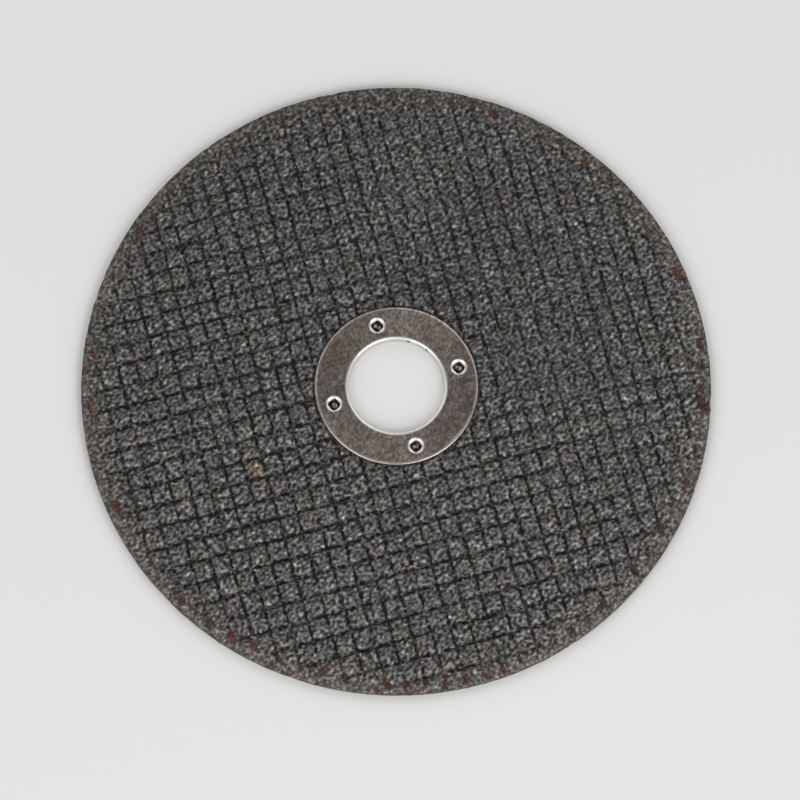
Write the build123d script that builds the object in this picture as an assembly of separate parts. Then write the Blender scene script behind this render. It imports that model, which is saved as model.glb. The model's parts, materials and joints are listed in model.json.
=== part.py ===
from build123d import *
from math import ceil, cos, floor, radians, sin, sqrt, tan
import os

# Thin cut-off wheel: a pressed abrasive disc with a stamped steel ring at its centre.
# The origin is on the bore's axis at the back face, +Z points out of the ring's side,
# and +X runs through one of the ring's four pierced points. Sizes are in millimetres.

# Abrasive disc
wheel_diameter = 105.0
wheel_thickness = 1.2

# Net of glass yarn, pressed into the front face as two sets of grooves
net_diameter = 101.4
groove_width = 0.5
groove_depth = 0.12
warp_pitch = 3.165
warp_turn = -1.3
warp_offset = 0.46
weft_pitch = 3.574
weft_turn = 87.5
weft_offset = 0.79

# Steel ring, one sheet stamped into a flange and a collar
bore_diameter = 16.0
flange_diameter = 27.2
sheet_thickness = 0.3
bend_radius = 0.6
flange_edge_bevel = 0.15
collar_setback = 0.15

# Points where the flange is pierced and its claws are driven into the disc
pierce_count = 4
pierce_circle = 21.7
shoulder_radius = 1.35
opening_side = 1.6
opening_turn = 24.8
claw_length = 0.55
claw_taper = 12
notch_width = 1.1
notch_height = 0.4

# Seat of the ring in the disc
seat_depth = 0.15
flange_gap = 0.1
collar_gap = 0.02
claw_gap = 0.03

# Levels and radii that follow from the sizes above
seat_level = wheel_thickness - seat_depth
flange_level = seat_level + sheet_thickness
bore_radius = bore_diameter / 2
collar_radius = bore_radius + sheet_thickness
lift = 0.05


def rectangle_between(x0, y0, x1, y1):
    """Rectangle with two given opposite corners."""
    return Pos((x0 + x1) / 2, (y0 + y1) / 2) * Rectangle(x1 - x0, y1 - y0)


def corner(section, x, y):
    """The section's corner that is nearest to a point."""
    return section.vertices().sort_by_distance((x, y, 0))[0]


def disc_blank():
    """Turned form of the disc: bore, ring seat and rim."""
    rim = wheel_diameter / 2
    hole = collar_radius + collar_gap
    seat = flange_diameter / 2 + flange_gap
    relief = bend_radius - sheet_thickness + collar_gap
    section = rectangle_between(hole, 0, rim, wheel_thickness)
    section -= rectangle_between(hole, seat_level, seat, wheel_thickness)
    section = chamfer(corner(section, hole, seat_level), relief)
    return revolve(Plane.XZ * section, Axis.Z)


def groove_set(pitch, turn, offset):
    """Parallel V grooves at one pitch, each as long as the net's round outline is there."""
    reach = net_diameter / 2
    first = ceil((groove_width - reach - offset) / pitch)
    last = floor((reach - groove_width - offset) / pitch)
    half = groove_width / 2 * (groove_depth + lift) / groove_depth
    section = Polygon((-half, lift), (half, lift), (0, -groove_depth), align=None)
    across = (cos(radians(turn)), sin(radians(turn)), 0)
    along = (sin(radians(turn)), -cos(radians(turn)), 0)
    face_plane = Plane(origin=(0, 0, wheel_thickness), x_dir=across, z_dir=along)
    grooves = []
    for k in range(first, last + 1):
        place = offset + k * pitch
        half_length = sqrt(reach**2 - place**2)
        grooves.append(extrude(face_plane * Pos(place, 0) * section, amount=half_length, both=True))
    return grooves


def claw_block(gap):
    """Tapered square plug under the flange, with its top at the origin."""
    side = opening_side + 2 * (sheet_thickness + gap)
    length = claw_length + gap
    tip = side - 2 * length * tan(radians(claw_taper))
    block = loft([Rectangle(side, side), Pos(0, 0, -length) * Rectangle(tip, tip)], ruled=True)
    return Rot(0, 0, opening_turn) * block


def at_pierced_points(shape, level):
    """Copies of a shape at the pierced points, all turned the same way."""
    spots = PolarLocations(pierce_circle / 2, pierce_count, rotate=False)
    return [Pos(0, 0, level) * spot * shape for spot in spots]


def pierced_opening():
    """Funnel-shaped shoulder and square hole, with its top at the origin."""
    throat = opening_side / 2
    depth = sheet_thickness + claw_length
    top = (Align.CENTER, Align.CENTER, Align.MAX)
    funnel = Cone(throat, shoulder_radius, sheet_thickness, align=top)
    hole = Box(opening_side, opening_side, 2 * (depth + lift))
    return Rot(0, 0, opening_turn) * (funnel + hole)


def claw_notches():
    """V cuts at the square's corners that part the four claws."""
    depth = sheet_thickness + claw_length
    half = notch_width / 2
    cut = Polygon((-half, -depth - lift), (half, -depth - lift), (0, notch_height - depth), align=None)
    bar = extrude(Plane.XZ * cut, amount=2 * shoulder_radius, both=True)
    return [Rot(0, 0, opening_turn + turn) * bar for turn in (45, 135)]


def abrasive_disc():
    disc = disc_blank()
    disc -= groove_set(warp_pitch, warp_turn, warp_offset)
    disc -= groove_set(weft_pitch, weft_turn, weft_offset)
    disc -= at_pierced_points(claw_block(claw_gap), seat_level)
    return disc


def centre_ring():
    edge = flange_diameter / 2
    flange = rectangle_between(bore_radius, seat_level, edge, flange_level)
    collar = rectangle_between(bore_radius, collar_setback, collar_radius, flange_level)
    section = flange + collar
    section = fillet(corner(section, bore_radius, flange_level), bend_radius)
    section = chamfer(corner(section, collar_radius, seat_level), bend_radius - sheet_thickness)
    section = chamfer(corner(section, edge, flange_level), flange_edge_bevel)
    ring = revolve(Plane.XZ * section, Axis.Z)
    ring += at_pierced_points(claw_block(0), seat_level)
    ring -= at_pierced_points(pierced_opening(), flange_level)
    for notch in claw_notches():
        ring -= at_pierced_points(notch, flange_level)
    return ring


os.makedirs("parts", exist_ok=True)
for name, make in (("abrasive_disc", abrasive_disc), ("centre_ring", centre_ring)):
    export_step(make(), f"parts/{name}.step")
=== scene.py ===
import json
from math import cos, pi, radians, sin

import bpy
import numpy as np
from mathutils import Matrix, Vector


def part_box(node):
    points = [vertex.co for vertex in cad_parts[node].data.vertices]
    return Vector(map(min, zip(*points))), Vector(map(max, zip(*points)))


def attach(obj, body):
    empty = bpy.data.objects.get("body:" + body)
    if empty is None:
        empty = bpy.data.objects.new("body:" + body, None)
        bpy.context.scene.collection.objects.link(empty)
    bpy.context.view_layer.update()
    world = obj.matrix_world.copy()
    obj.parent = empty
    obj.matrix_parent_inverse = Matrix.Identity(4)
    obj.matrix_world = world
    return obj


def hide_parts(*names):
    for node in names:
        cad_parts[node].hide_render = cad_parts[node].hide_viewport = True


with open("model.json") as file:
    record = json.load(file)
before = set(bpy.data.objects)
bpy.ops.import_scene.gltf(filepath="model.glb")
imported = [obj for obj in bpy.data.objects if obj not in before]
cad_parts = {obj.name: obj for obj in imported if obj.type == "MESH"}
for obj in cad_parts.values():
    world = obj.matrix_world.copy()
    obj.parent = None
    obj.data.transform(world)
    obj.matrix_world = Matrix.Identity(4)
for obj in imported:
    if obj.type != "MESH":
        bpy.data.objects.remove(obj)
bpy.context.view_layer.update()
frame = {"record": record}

# Lengths below are in millimetres, in the frame of the solids, and angles in degrees.
# Meshes are worked out in millimetres too, and makeObject turns them to metres.
mm = 0.001
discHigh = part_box("abrasive_disc")[1] / mm
ringLow, ringHigh = (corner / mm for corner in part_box("centre_ring"))
rimRadius = discHigh.x
faceLevel = discHigh.z
flangeRadius = ringHigh.x
flangeLevel = ringHigh.z
boreRadius = frame["record"]["mounts"][0]["dims"]["r_mm"]

# The ring's four pierced points lie on one circle, the first of them on +X.
pierced = {
    "circle": 10.85,
    "count": 4,
    "turn": 24.8,         # of the square opening
    "side": 1.82,
    "sharpness": 3.4,
}
piercedSpots = [
    (pierced["circle"] * cos(2 * pi * k / pierced["count"]),
     pierced["circle"] * sin(2 * pi * k / pierced["count"]))
    for k in range(pierced["count"])
]


# Helpers for meshes

# smooth random relief from -1 to 1: seeded random heights on a square grid of the given cell,
# eased between the grid's points with 3t^2 - 2t^3
def ripple(x, y, cell, seed):
    table = np.random.default_rng(seed).uniform(-1, 1, (256, 256))
    u, v = x / cell + 128, y / cell + 128
    i, j = np.floor(u).astype(int), np.floor(v).astype(int)
    a, b = u - i, v - j
    a, b = a * a * (3 - 2 * a), b * b * (3 - 2 * b)
    i0, i1, j0, j1 = i % 256, (i + 1) % 256, j % 256, (j + 1) % 256
    low = table[i0, j0] * (1 - a) + table[i1, j0] * a
    high = table[i0, j1] * (1 - a) + table[i1, j1] * a
    return low * (1 - b) + high * b


# a bell that is 1 at the middle and falls as exp(-(distance / width)^2)
def bell(distance, width):
    return np.exp(-(distance / width) ** 2)


# 0 below low, 1 above high and 3t^2 - 2t^3 between them
def ease(value, low, high):
    t = np.clip((value - low) / (high - low), 0, 1)
    return t * t * (3 - 2 * t)


# what a mesh is gathered in: arrays of points, their marks and faces, and the count of points so far
def newShell():
    return {"points": [], "marks": [], "faces": [], "size": 0}


# adds points given as three arrays of one shape, with up to six marks each, and returns their numbers
def addPoints(shell, x, y, z, marks=None):
    x, y, z = np.broadcast_arrays(x, y, z)
    shell["points"].append(np.stack([x, y, z], axis=-1).reshape(-1, 3))
    blank = np.zeros(x.shape + (6,))
    shell["marks"].append((blank if marks is None else marks).reshape(-1, 6))
    numbers = shell["size"] + np.arange(x.size).reshape(x.shape)
    shell["size"] += x.size
    return numbers


def addFaces(shell, faces, flip=False):
    shell["faces"].append(faces[:, ::-1] if flip else faces)


# the four-sided faces between the rows and columns of a grid of point numbers
def gridQuads(numbers):
    a, b = numbers[:-1, :-1], numbers[1:, :-1]
    c, d = numbers[1:, 1:], numbers[:-1, 1:]
    return np.stack([a, b, c, d], axis=-1).reshape(-1, 4)


# Faces that lie whole in a cut are dropped. Where only one corner is left outside it, the face
# becomes a triangle, so the cut's edge runs from one moved point to the next.
def cutQuads(quads, gone):
    lost = gone[quads].sum(axis=1)
    single = quads[lost == 3]
    first = np.argmin(gone[single], axis=1)
    turned = single[np.arange(len(single))[:, None], (first[:, None] + [0, 1, 3]) % 4]
    return quads[lost < 3], turned


# The marked points along a cut's open edge, as they follow each other round a centre. An open edge
# is a side that one face alone has. Each point's steps to the first one are found by doubling: its
# steps so far plus those of the point they lead to, until all have arrived.
def edgeRing(shell, numbers, centre=(0, 0)):
    start = np.concatenate([faces.ravel() for faces in shell["faces"]])
    end = np.concatenate([np.roll(faces, -1, axis=1).ravel() for faces in shell["faces"]])
    isOpen = np.isin(start, numbers) & np.isin(end, numbers)
    start, end = start[isOpen], end[isOpen]
    isOpen = ~np.isin(start * shell["size"] + end, end * shell["size"] + start)
    start, end = start[isOpen], end[isOpen]
    order = np.argsort(start)
    points, leadsTo = start[order], np.searchsorted(start[order], end[order])
    angle = pointAngles(shell, points, centre)
    first = np.argmin(angle)
    steps = np.ones(len(points), int)
    turn = np.angle(np.exp(1j * (angle[leadsTo] - angle))).sum()
    steps[first], leadsTo[first] = 0, first
    while (leadsTo != first).any():
        steps, leadsTo = steps + steps[leadsTo], leadsTo[leadsTo]
    chain = points[np.argsort(steps)]
    return np.roll(chain[::-1], 1) if turn > 0 else chain


# the bearings of points from a centre
def pointAngles(shell, points, centre):
    place = np.concatenate(shell["points"])[points]
    return np.arctan2(place[:, 1] - centre[1], place[:, 0] - centre[0])


# the angles of a ring's points, in rising order
def ringAngles(shell, ring, centre=(0, 0)):
    return np.sort(pointAngles(shell, ring, centre))


# a closed band of faces between two rings of as many points, facing away from the axis
def bandFaces(shell, upper, lower, flip=False):
    nextUpper, nextLower = np.roll(upper, -1), np.roll(lower, -1)
    addFaces(shell, np.stack([upper, lower, nextLower, nextUpper], axis=-1), flip)


# The same between rings of different counts: their points are taken in the order of their angles,
# and each makes one triangle with the point before it on its own ring and the last on the other.
def zipFaces(shell, upper, lower, flip=False, centre=(0, 0)):
    angles = np.concatenate([ringAngles(shell, upper, centre), ringAngles(shell, lower, centre)])
    isUpper = np.argsort(angles, kind="stable") < len(upper)
    u, v = np.cumsum(isUpper) - 1, np.cumsum(~isUpper) - 1
    fromUpper = np.stack([upper[u - 1], lower[v], upper[u]], axis=-1)
    fromLower = np.stack([upper[u], lower[v - 1], lower[v]], axis=-1)
    addFaces(shell, np.where(isUpper[:, None], fromUpper, fromLower), flip)


# makes the object, in metres and at the origin, without the points that no face uses
def makeObject(name, shell, material, markNames=(), smooth=True):
    points = np.concatenate(shell["points"]) * mm
    marks = np.concatenate(shell["marks"])
    used = np.zeros(len(points), bool)
    for faces in shell["faces"]:
        used[faces] = True
    renumbered = np.cumsum(used) - 1
    faceLists = [face for faces in shell["faces"] for face in renumbered[faces].tolist()]
    mesh = bpy.data.meshes.new(name)
    mesh.from_pydata(points[used], [], faceLists)
    for k, markName in enumerate(markNames):
        layer = mesh.attributes.new(markName, "FLOAT_VECTOR", "POINT")
        layer.data.foreach_set("vector", marks[used][:, 3 * k:3 * k + 3].ravel())
    mesh.polygons.foreach_set("use_smooth", [smooth] * len(mesh.polygons))
    mesh.materials.append(material)
    mesh.update()
    made = bpy.data.objects.new(name, mesh)
    bpy.context.scene.collection.objects.link(made)
    print(f"{name}: {sum(len(face) - 2 for face in faceLists)} triangles")
    return made


# Helpers for materials

# a new material with its tree of nodes and its shader
def newMaterial(name):
    material = bpy.data.materials.new(name)
    material.use_nodes = True
    return material, material.node_tree, material.node_tree.nodes["Principled BSDF"]


# gives sockets of a node a value each, or another node's output
def setSockets(tree, node, sockets):
    for name, value in sockets.items():
        if isinstance(value, bpy.types.NodeSocket):
            tree.links.new(value, node.inputs[name])
        else:
            node.inputs[name].default_value = value


# adds a node, with its plain settings and its sockets
def addNode(tree, kind, sockets=None, **settings):
    made = tree.nodes.new("ShaderNode" + kind)
    for name, value in settings.items():
        setattr(made, name, value)
    setSockets(tree, made, sockets or {})
    return made


def maths(tree, operation, *values):
    made = addNode(tree, "Math", dict(enumerate(values)), operation=operation)
    return made.outputs[0]


# 3t^2 - 2t^3 between two values, from one result to the other
def fade(tree, value, low, high, atLow=0.0, atHigh=1.0):
    sockets = {"Value": value, "From Min": low, "From Max": high, "To Min": atLow, "To Max": atHigh}
    return addNode(tree, "MapRange", sockets, interpolation_type="SMOOTHSTEP").outputs["Result"]


# a colour given as three numbers, as one for a grey, or as another node's output
def asColour(value):
    if isinstance(value, bpy.types.NodeSocket):
        return value
    return (*value, 1) if isinstance(value, (tuple, list)) else (value, value, value, 1)


# mixes two colours by a factor, by the given blend
def mixColours(tree, factor, first, second, blend="MIX"):
    made = addNode(tree, "Mix", {"Factor": factor}, data_type="RGBA", blend_type=blend)
    colourInputs = [k for k, socket in enumerate(made.inputs) if socket.type == "RGBA"]
    setSockets(tree, made, dict(zip(colourInputs, (asColour(first), asColour(second)))))
    return next(socket for socket in made.outputs if socket.type == "RGBA")


# a colour multiplied by a tint, as far as the factor says
def tinted(tree, colour, tint, factor=1.0):
    return mixColours(tree, factor, colour, tint, "MULTIPLY")


# a colour ramp through stops of a value and its colour
def ramp(tree, value, stops):
    made = addNode(tree, "ValToRGB", {"Fac": value})
    elements = made.color_ramp.elements
    while len(elements) < len(stops):
        elements.new(0.5)
    for element, (place, colour) in zip(elements, stops):
        element.position = place
        element.color = asColour(colour)
    return made.outputs["Color"]


def objectPlace(tree):
    return addNode(tree, "TexCoord").outputs["Object"]


def axisOf(tree, vector, axis):
    return addNode(tree, "SeparateXYZ", {0: vector}).outputs[axis]


# the place for patterns that are longer by values["stretch"] along the bearing values["lay"]
def laidPlace(tree, place, values):
    scale, bearing = (values["stretch"], 1, 1), (0, 0, radians(values["lay"]))
    sockets = {"Vector": place, "Rotation": bearing, "Scale": scale}
    return addNode(tree, "Mapping", sockets, vector_type="TEXTURE").outputs[0]


# cells in space of the given size, in millimetres: a node with Distance and a random Color
def cells(tree, place, size, feature="F1"):
    return addNode(tree, "TexVoronoi", {"Vector": place, "Scale": 1 / (size * mm)}, feature=feature)


# soft noise about 0.5, whose features are of the given size in millimetres
def cloud(tree, place, size, detail=2.0, roughness=0.5):
    sockets = {"Vector": place, "Scale": 1 / (size * mm), "Detail": detail, "Roughness": roughness}
    return addNode(tree, "TexNoise", sockets).outputs["Fac"]


# a normal tilted by a height, with its depth in millimetres
def bump(tree, height, depth, strength, normal=None):
    sockets = {"Height": height, "Distance": depth * mm, "Strength": strength}
    if normal is not None:
        sockets["Normal"] = normal
    return addNode(tree, "Bump", sockets).outputs["Normal"]


# distance from the bore's axis, in millimetres
def axisDistance(tree, place):
    flat = addNode(tree, "VectorMath", {0: place, 1: (1, 1, 0)}, operation="MULTIPLY").outputs[0]
    length = addNode(tree, "VectorMath", {0: flat}, operation="LENGTH").outputs["Value"]
    return maths(tree, "DIVIDE", length, mm)


# 1 in the middle of a small oblong patch, given by its middle, bearing and half sizes, to 0 at its ends
def patchShare(tree, place, x, y, bearing, halfLength, halfWidth):
    sockets = {"Vector": place, "Location": (x * mm, y * mm, 0), "Rotation": (0, 0, radians(bearing))}
    own = addNode(tree, "Mapping", sockets, vector_type="TEXTURE").outputs[0]
    along = addNode(tree, "SeparateXYZ", {0: own})
    length = maths(tree, "DIVIDE", maths(tree, "ABSOLUTE", along.outputs["X"]), mm)
    width = maths(tree, "DIVIDE", maths(tree, "ABSOLUTE", along.outputs["Y"]), mm)
    return maths(
        tree, "MULTIPLY",
        fade(tree, length, halfLength * 0.5, halfLength, 1.0, 0.0),
        fade(tree, width, halfWidth * 0.4, halfWidth, 1.0, 0.0),
    )


# Camera, light and floor

camera = {
    "turn": -20.2,        # about the bore's axis, from -Y
    "elevation": 74.498,
    "distance": 798.66,
    "aim": (-0.06, -2.22, 0),
    "roll": 2.973,
    "lens": 215.8,
}


# looks from its elevation at the aim, rolled about its own axis
def makeCamera():
    rise, roll = radians(camera["elevation"]), radians(camera["roll"])
    back = Vector((0, -cos(rise), sin(rise)))
    right, up = Vector((1, 0, 0)), Vector((0, sin(rise), cos(rise)))
    side = right * cos(roll) + up * sin(roll)
    top = up * cos(roll) - right * sin(roll)
    turned = Matrix((side, top, back)).transposed()
    turned = Matrix.Rotation(radians(camera["turn"]), 3, "Z") @ turned
    place = Vector(camera["aim"]) * mm + turned.col[2] * camera["distance"] * mm
    lens = bpy.data.cameras.new("camera")
    lens.lens = camera["lens"]
    lens.clip_start = 0.01
    made = bpy.data.objects.new("camera", lens)
    made.matrix_world = Matrix.Translation(place) @ turned.to_4x4()
    bpy.context.scene.collection.objects.link(made)
    bpy.context.scene.camera = made


studio = {
    "zenith": 0.25,       # brightness overhead, which the ring's flat face mirrors
    "horizon": 0.74,      # brightness round about
    "skySpan": (0.35, 0.8),   # sines of the heights between which it changes
    "lampSize": 700.0,
    "lampDistance": 950.0,
    "lamps": [            # bearing as the camera sees it (0 right, 90 up the picture), height, brightness
        (-48, 33, 3.0),
        (-128, 33, 2.2),
        (60, 35, 1.15),
        (135, 35, 0.88),
    ],
    "floorColour": (0.755, 0.755, 0.748), "floorTones": ((0.3, 0.985), (0.7, 1.015)),
    "floorRadius": 4000.0,
}


# soft square lamps, each facing the wheel from its bearing and height
def makeLamps():
    for k, (bearing, height, brightness) in enumerate(studio["lamps"]):
        lamp = bpy.data.lights.new(f"lamp_{k}", "AREA")
        lamp.shape = "SQUARE"
        lamp.size = studio["lampSize"] * mm
        lamp.energy = brightness * pi * lamp.size ** 2
        angle, rise = radians(bearing + camera["turn"]), radians(height)
        away = Vector((cos(angle) * cos(rise), sin(angle) * cos(rise), sin(rise)))
        made = bpy.data.objects.new(lamp.name, lamp)
        turned = away.to_track_quat("Z", "Y").to_matrix().to_4x4()
        made.matrix_world = Matrix.Translation(away * studio["lampDistance"] * mm) @ turned
        bpy.context.scene.collection.objects.link(made)


# dim overhead and pale round about, like a light tent with an open top
def makeWorld():
    world = bpy.data.worlds.new("world")
    world.use_nodes = True
    tree = world.node_tree
    direction = addNode(tree, "TexCoord").outputs["Generated"]
    height = axisOf(tree, direction, "Z")
    brightness = fade(tree, height, *studio["skySpan"], studio["horizon"], studio["zenith"])
    tree.links.new(brightness, tree.nodes["Background"].inputs["Color"])
    bpy.context.scene.world = world
    bpy.context.scene.view_settings.view_transform = "Standard"


# a flat round floor at the level the wheel lies on: rings of points on a polar grid
def makeFloor():
    material, tree, shader = newMaterial("floor_white")
    grain = cloud(tree, objectPlace(tree), 400)
    tones = [
        (at, tuple(part * level for part in studio["floorColour"])) for at, level in studio["floorTones"]
    ]
    colour = ramp(tree, grain, tones)
    setSockets(tree, shader, {"Base Color": colour, "Roughness": 0.6, "Specular IOR Level": 0.2})
    shell = newShell()
    radius = np.array([0.001, 0.1, 0.4, 1]) * studio["floorRadius"]
    angle = np.linspace(0, 2 * pi, 64, endpoint=False)
    numbers = addPoints(shell, radius[:, None] * np.cos(angle), radius[:, None] * np.sin(angle), 0)
    addFaces(shell, gridQuads(np.hstack([numbers, numbers[:, :1]])))
    addFaces(shell, numbers[:1])
    makeObject("floor", shell, material)


# Abrasive disc

# The net's yarns press two sets of grooves into both faces. Each set has its own pitch and turn,
# and the yarns drift and bow a little across the wheel.
net = {
    "warpPitch": 3.165, "warpTurn": -1.3, "warpOffset": 0.36,
    "weftPitch": 3.574, "weftTurn": 87.5, "weftOffset": 0.94,
    "span": 50.0,         # length by which the drift values below are scaled
    "warpSkew": 0.12, "warpShear": -0.2, "warpBow": 0.1,
    "weftRise": 0.4, "weftBow": -0.68, "weftSway": 0.5, "weftDroop": -0.24,
    "wander": ((0.06, 6.0, 31), (0.07, 1.9, 33)),   # reach, cell and seed of the yarns' small bends
    "weftPress": (0.92, -0.4, -0.3),                # strength of the weft, and its change along X and Y
    "radius": 50.7,
    "backTurn": 31.0,     # the back net lies at its own angle
}
# where the grooves are faint: x, y, reach, and how much the warp and the weft lose there
faintSpots = [
    (26.5, -3.4, 11, 0.5, 0.7),
    (12.4, 33.8, 12, 0.3, 0.6),
    (32.7, 13.5, 12, 0.1, 0.5),
    (-41.0, 4.4, 9, 0.3, 0.1),
]
disc = {
    "grooveLines": (-0.26, -0.12, 0, 0.12, 0.26),   # grid lines across a groove
    "warpPadLines": 4, "weftPadLines": 4,           # grid lines between grooves
    "backGrooveLines": (-0.2, 0, 0.2),
    "backPadLines": 2,
    "grooveDepth": 0.17,
    "grooveWidth": 0.17,
    "shoulder": 0.09,
    "shoulderWidth": 0.62,
    "crumb": 0.06,        # random height of each point
    "humps": ((0.018, 1.1, 1), (0.012, 7.0, 2)),    # height, cell and seed of the face's unevenness
    "stray": 0.08,        # random shift of the pads' points
    "edgeRadius": 52.48,
    "edgeFall": 0.09, "edgeSpan": (51.5, 52.4),     # how far the face falls towards the rim, and where
    "rimCrumb": 0.1,      # random inset of each point of the rim
    "rimWaves": ((0.02, 5.0, 51), (0.035, 0.8, 52)),                         # inset, cell and seed
    "rimRows": ((0.03, 1.06), (0.0, 0.86), (0.0, 0.6), (0.0, 0.34), (0.02, 0.12)),   # inset, level
    "backLevel": 0.06,
    "seatEdge": 13.93, "seatWall": 13.84,
    "seatDepth": 0.165,
    "boreWall": 8.36,
    "boreEdge": 8.5,
    "boreLevels": (0.8, 0.4, 0.1),
    "reach": 54.0,
    "snap": 0.1,          # points this near a cut's edge move onto it
    "cutDrop": 0.03,      # how far those points sink
    "pocketDepth": 0.56,
    "pocketHalf": 1.15,
}
# nicks in the rim: bearing, half width, depth
rimNicks = [
    (-20.2, 0.7, 0.15), (58.8, 0.5, 0.17), (84.8, 0.5, 0.16), (-22.8, 0.5, 0.13), (233.5, 1.4, 0.09),
    (146.0, 0.4, 0.16), (-75.6, 0.4, 0.12), (-73.7, 0.4, 0.12), (205.0, 2.0, 0.06), (110.0, 0.5, 0.08),
]


# How far the two sets of yarns stray at a point, in millimetres: low powers of its place, so that
# they drift and bow across the wheel, and seeded ripples for the small bends.
def drift(x, y):
    u, v = x / net["span"], y / net["span"]
    warp = net["warpSkew"] * v + net["warpShear"] * u * v + net["warpBow"] * v ** 2
    weft = net["weftRise"] + net["weftBow"] * (u ** 2 + v ** 2)
    weft = weft + net["weftSway"] * u * (1 - 1.2 * u ** 2) + net["weftDroop"] * v ** 3
    for reach, cell, seed in net["wander"]:
        warp, weft = warp + reach * ripple(x, y, cell, seed), weft + reach * ripple(x, y, cell, seed + 1)
    return warp, weft


# Where a point lies across the two sets of yarns: x cos(turn) + y sin(turn), less the drift. Grooves
# lie where this is the set's offset plus a whole number of pitches.
def toNet(x, y):
    a, b = radians(net["warpTurn"]), radians(net["weftTurn"])
    warpDrift, weftDrift = drift(x, y)
    return x * cos(a) + y * sin(a) - warpDrift, x * cos(b) + y * sin(b) - weftDrift


# the other way round: the two directions are solved for x and y, with the drift of the last guess
def fromNet(s, t):
    a, b = radians(net["warpTurn"]), radians(net["weftTurn"])
    x, y = s, t
    for _ in range(8):
        warpDrift, weftDrift = drift(x, y)
        p, q = s + warpDrift, t + weftDrift
        x = (p * sin(b) - q * sin(a)) / sin(b - a)
        y = (q * cos(a) - p * cos(b)) / sin(b - a)
    return x, y


# how deep the warp and the weft are pressed at a point, about 1 where they are strong
def pressure(x, y):
    strength, alongX, alongY = net["weftPress"]
    warp = 1 + 0.12 * ripple(x, y, 9, 41)
    weft = strength + alongX * x / net["span"] + alongY * y / net["span"] + 0.2 * ripple(x, y, 7, 42)
    for spotX, spotY, reach, warpLoss, weftLoss in faintSpots:
        near = bell(np.hypot(x - spotX, y - spotY), reach)
        warp, weft = warp * (1 - warpLoss * near), weft * (1 - weftLoss * near)
    radius = np.hypot(x, y)
    inside = ease(net["radius"] + 0.3 - radius, 0, 1.2) * (1 - 0.4 * ease(radius, 45, 49.5))
    return np.clip(warp, 0, 1.3) * inside, np.clip(weft, 0, 1.3) * inside


# a point's phase across each set of yarns: a whole number on a groove, and a half between two
def netPhases(x, y):
    s, t = toNet(x, y)
    return (s - net["warpOffset"]) / net["warpPitch"], (t - net["weftOffset"]) / net["weftPitch"]


# Sunk depth of a face: each groove is a bell across its yarn with a wider, shallower shoulder,
# as deep as the press there, and the face falls a little towards the rim. The marks are the phases
# and the press, for the material.
def faceRelief(x, y):
    phases = netPhases(x, y)
    press = pressure(x, y)
    groove, shoulder = 0, 0
    for phase, pitch, strength in zip(phases, (net["warpPitch"], net["weftPitch"]), press):
        away = np.abs(phase - np.round(phase)) * pitch
        groove = np.maximum(groove, bell(away, disc["grooveWidth"]) * strength)
        shoulder = shoulder + bell(away, disc["shoulderWidth"]) * strength
    edge = ease(np.hypot(x, y), *disc["edgeSpan"]) * disc["edgeFall"]
    sunk = disc["grooveDepth"] * groove + disc["shoulder"] * shoulder + edge
    marks = np.stack([*phases, np.zeros_like(x), *press, np.zeros_like(x)], axis=-1)
    return sunk, marks


# positions of the grid lines across a set of yarns, a few in each groove and even ones between
def gridLines(pitch, offset, grooveLines, padLines):
    last = grooveLines[-1]
    gap = (pitch - 2 * last) / (padLines + 1)
    within = np.array([*grooveLines, *(last + gap * (k + 1) for k in range(padLines))])
    count = int(disc["reach"] / pitch) + 2
    places = offset + pitch * np.arange(-count, count + 1)[:, None] + within
    isPad = np.broadcast_to(np.abs(within) > last + 0.01, places.shape)
    return places.ravel(), isPad.ravel()


# how far the rim lies inside its full radius at an angle: seeded waves, and a bell for each nick
def rimOutline(angle):
    x, y = rimRadius * np.cos(angle), rimRadius * np.sin(angle)
    loss = sum(inset * (1 + ripple(x, y, cell, seed)) for inset, cell, seed in disc["rimWaves"])
    for bearing, halfWidth, depth in rimNicks:
        turn = np.angle(np.exp(1j * (angle - radians(bearing))))
        loss = loss + depth * bell(turn * rimRadius, halfWidth)
    return loss


# One face of the disc as a grid whose lines follow the yarns, cut at the rim and at the centre.
# Points just past a cut move onto it along their radius, and none goes below the floor that the
# wheel lies on. Returns the edge rings' point numbers.
def netFace(shell, grooveLines, padLines, innerRadius, level, side, turn, seed):
    draw = np.random.default_rng(seed)
    s, sPad = gridLines(net["warpPitch"], net["warpOffset"], grooveLines, padLines[0])
    t, tPad = gridLines(net["weftPitch"], net["weftOffset"], grooveLines, padLines[1])
    stray = draw.uniform(-1, 1, (2, len(s), len(t))) * disc["stray"]
    s = s[:, None] + stray[0] * np.where(sPad, 1, 0.3)[:, None]
    t = t[None, :] + stray[1] * np.where(tPad, 1, 0.3)[None, :]
    x, y = fromNet(s, t)
    radius, angle = np.hypot(x, y), np.arctan2(y, x)
    crumbs = disc["rimCrumb"] * draw.uniform(0, 1, x.shape) ** 2
    outer = disc["edgeRadius"] - rimOutline(angle + turn) - crumbs
    beyond = radius > outer - disc["snap"]
    within = radius < innerRadius + disc["snap"]
    radius = np.where(beyond, outer, np.where(within, innerRadius, radius))
    x, y = radius * np.cos(angle), radius * np.sin(angle)
    sunk, marks = faceRelief(x, y)
    crumbs = disc["crumb"] * draw.uniform(-1, 1, x.shape)
    for height, cell, own in disc["humps"]:
        crumbs = crumbs + height * ripple(x, y, cell, seed + own)
    sunk = np.where(beyond | within, sunk + disc["cutDrop"], sunk + crumbs)
    x, y = x * cos(turn) - y * sin(turn), x * sin(turn) + y * cos(turn)
    numbers = addPoints(shell, x, y, np.maximum(level - side * sunk, 0), marks)
    gone = (beyond | within).ravel()
    flags = np.zeros(shell["size"], bool)
    flags[numbers.ravel()] = gone
    for faces in cutQuads(gridQuads(numbers), flags):
        addFaces(shell, faces, flip=side < 0)
    return edgeRing(shell, numbers[beyond]), edgeRing(shell, numbers[within])


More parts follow.
